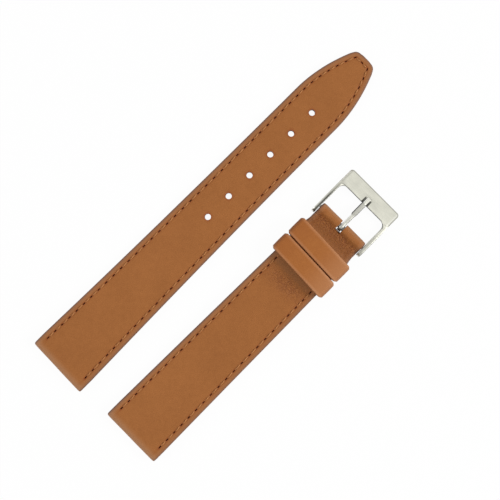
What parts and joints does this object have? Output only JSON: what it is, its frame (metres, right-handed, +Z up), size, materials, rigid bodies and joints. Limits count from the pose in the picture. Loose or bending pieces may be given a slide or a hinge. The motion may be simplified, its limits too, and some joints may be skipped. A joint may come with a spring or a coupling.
{
  "type": "leather watch strap",
  "caption": "Two-piece tapered leather watch strap, stitched along its edges, with a pin buckle on a spring bar, a fixed keeper and a sliding keeper.",
  "frame": {"origin": "centre of the underside of the whole object's box, on the table that the straps lie on", "axes": "+X along the straps from the watch ends towards the tip and the buckle, +Z up from the lining to the face, +Y from the short strap to the long strap"},
  "size_m": [0.118, 0.046, 0.0069],
  "materials": {
    "face_leather": "smooth fine-grained tan leather",
    "lining_leather": "soft matt lining leather",
    "filler_board": "bonded leather filler",
    "stay_tape": "thin non-stretch tape",
    "thread": "twisted waxed thread",
    "keeper_leather": "smooth tan leather, edges folded in",
    "buckle_steel": "satin stainless steel",
    "bar_steel": "plain stainless steel"
  },
  "bodies": {
    "short_strap": {"short_face_leather": "face_leather", "short_filler": "filler_board", "short_stay": "stay_tape", "short_lining": "lining_leather", "short_needle_thread": "thread", "short_bobbin_thread": "thread", "fixed_keeper_cover": "keeper_leather", "fixed_keeper_core": "filler_board", "bar_tube": "bar_steel", "bar_spring": "bar_steel"},
    "long_strap": {"long_face_leather": "face_leather", "long_filler": "filler_board", "long_stay": "stay_tape", "long_lining": "lining_leather", "long_needle_thread": "thread", "long_bobbin_thread": "thread"},
    "free_keeper": {"free_keeper_cover": "keeper_leather", "free_keeper_core": "filler_board"},
    "frame": {"buckle_frame": "buckle_steel"},
    "tang": {"buckle_tang": "buckle_steel"},
    "pin_left": {"bar_pin_left": "bar_steel"},
    "pin_right": {"bar_pin_right": "bar_steel"}
  },
  "joints": [
    {"name": "frame_swing", "type": "hinge", "parent": "short_strap", "child": "frame", "pos_m": [0.0221, -0.01337, 0.00255], "axis": [0, -1, 0], "range_deg": [-35, 60]},
    {"name": "tang_swing", "type": "hinge", "parent": "frame", "child": "tang", "pos_m": [0.0221, -0.01337, 0.00255], "axis": [0, -1, 0], "range_deg": [0, 70]},
    {"name": "free_keeper_slide", "type": "slide", "parent": "short_strap", "child": "free_keeper", "axis": [-1, 0, 0], "range_m": [0, 0.016]},
    {"name": "pin_left_press", "type": "slide", "parent": "short_strap", "child": "pin_left", "axis": [0, -1, 0], "range_m": [0, 0.001], "stiffness_N_per_m": 800, "springref_m": -0.001, "deforming": ["bar_spring"]},
    {"name": "pin_right_press", "type": "slide", "parent": "short_strap", "child": "pin_right", "axis": [0, 1, 0], "range_m": [0, 0.001], "stiffness_N_per_m": 800, "springref_m": -0.001, "deforming": ["bar_spring"]},
    {"name": "long_strap_lift", "type": "slide", "parent": "short_strap", "child": "long_strap", "axis": [0, 0, 1], "range_m": [0, 0.06]}
  ]
}
